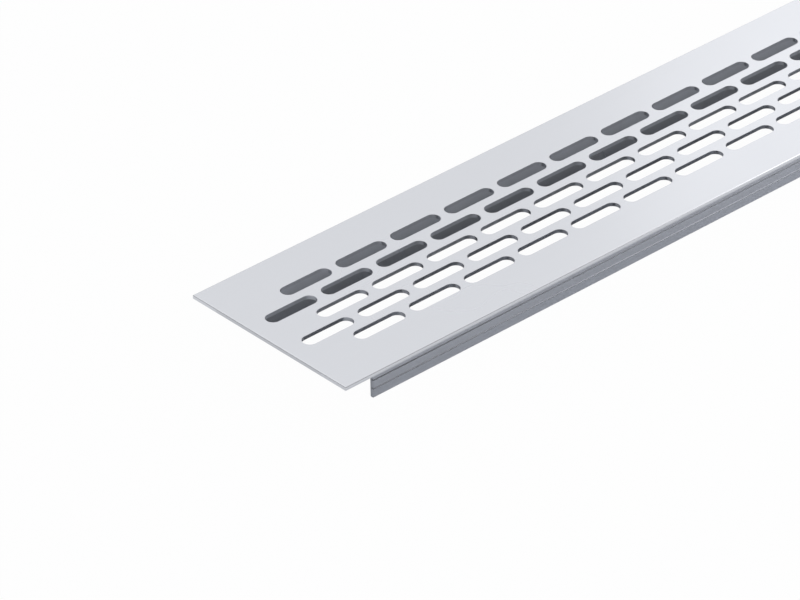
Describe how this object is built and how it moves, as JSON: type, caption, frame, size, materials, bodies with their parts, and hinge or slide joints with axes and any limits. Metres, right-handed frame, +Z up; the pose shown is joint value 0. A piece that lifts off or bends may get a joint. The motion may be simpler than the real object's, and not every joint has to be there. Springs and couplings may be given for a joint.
{
  "type": "furniture ventilation grille",
  "caption": "Long flat aluminium grille with staggered rows of rounded slots and two legs underneath that drop into a cut-out in a furniture panel.",
  "frame": {"origin": "middle of the grille in the plane of its feet", "axes": "+X along the length, +Y to the rear long edge, +Z up out of the slotted face"},
  "size_m": [0.48, 0.08, 0.02],
  "materials": {
    "satin_aluminium": "satin natural anodised"
  },
  "bodies": {
    "root": {"vent_grille": "satin_aluminium"}
  },
  "joints": []
}
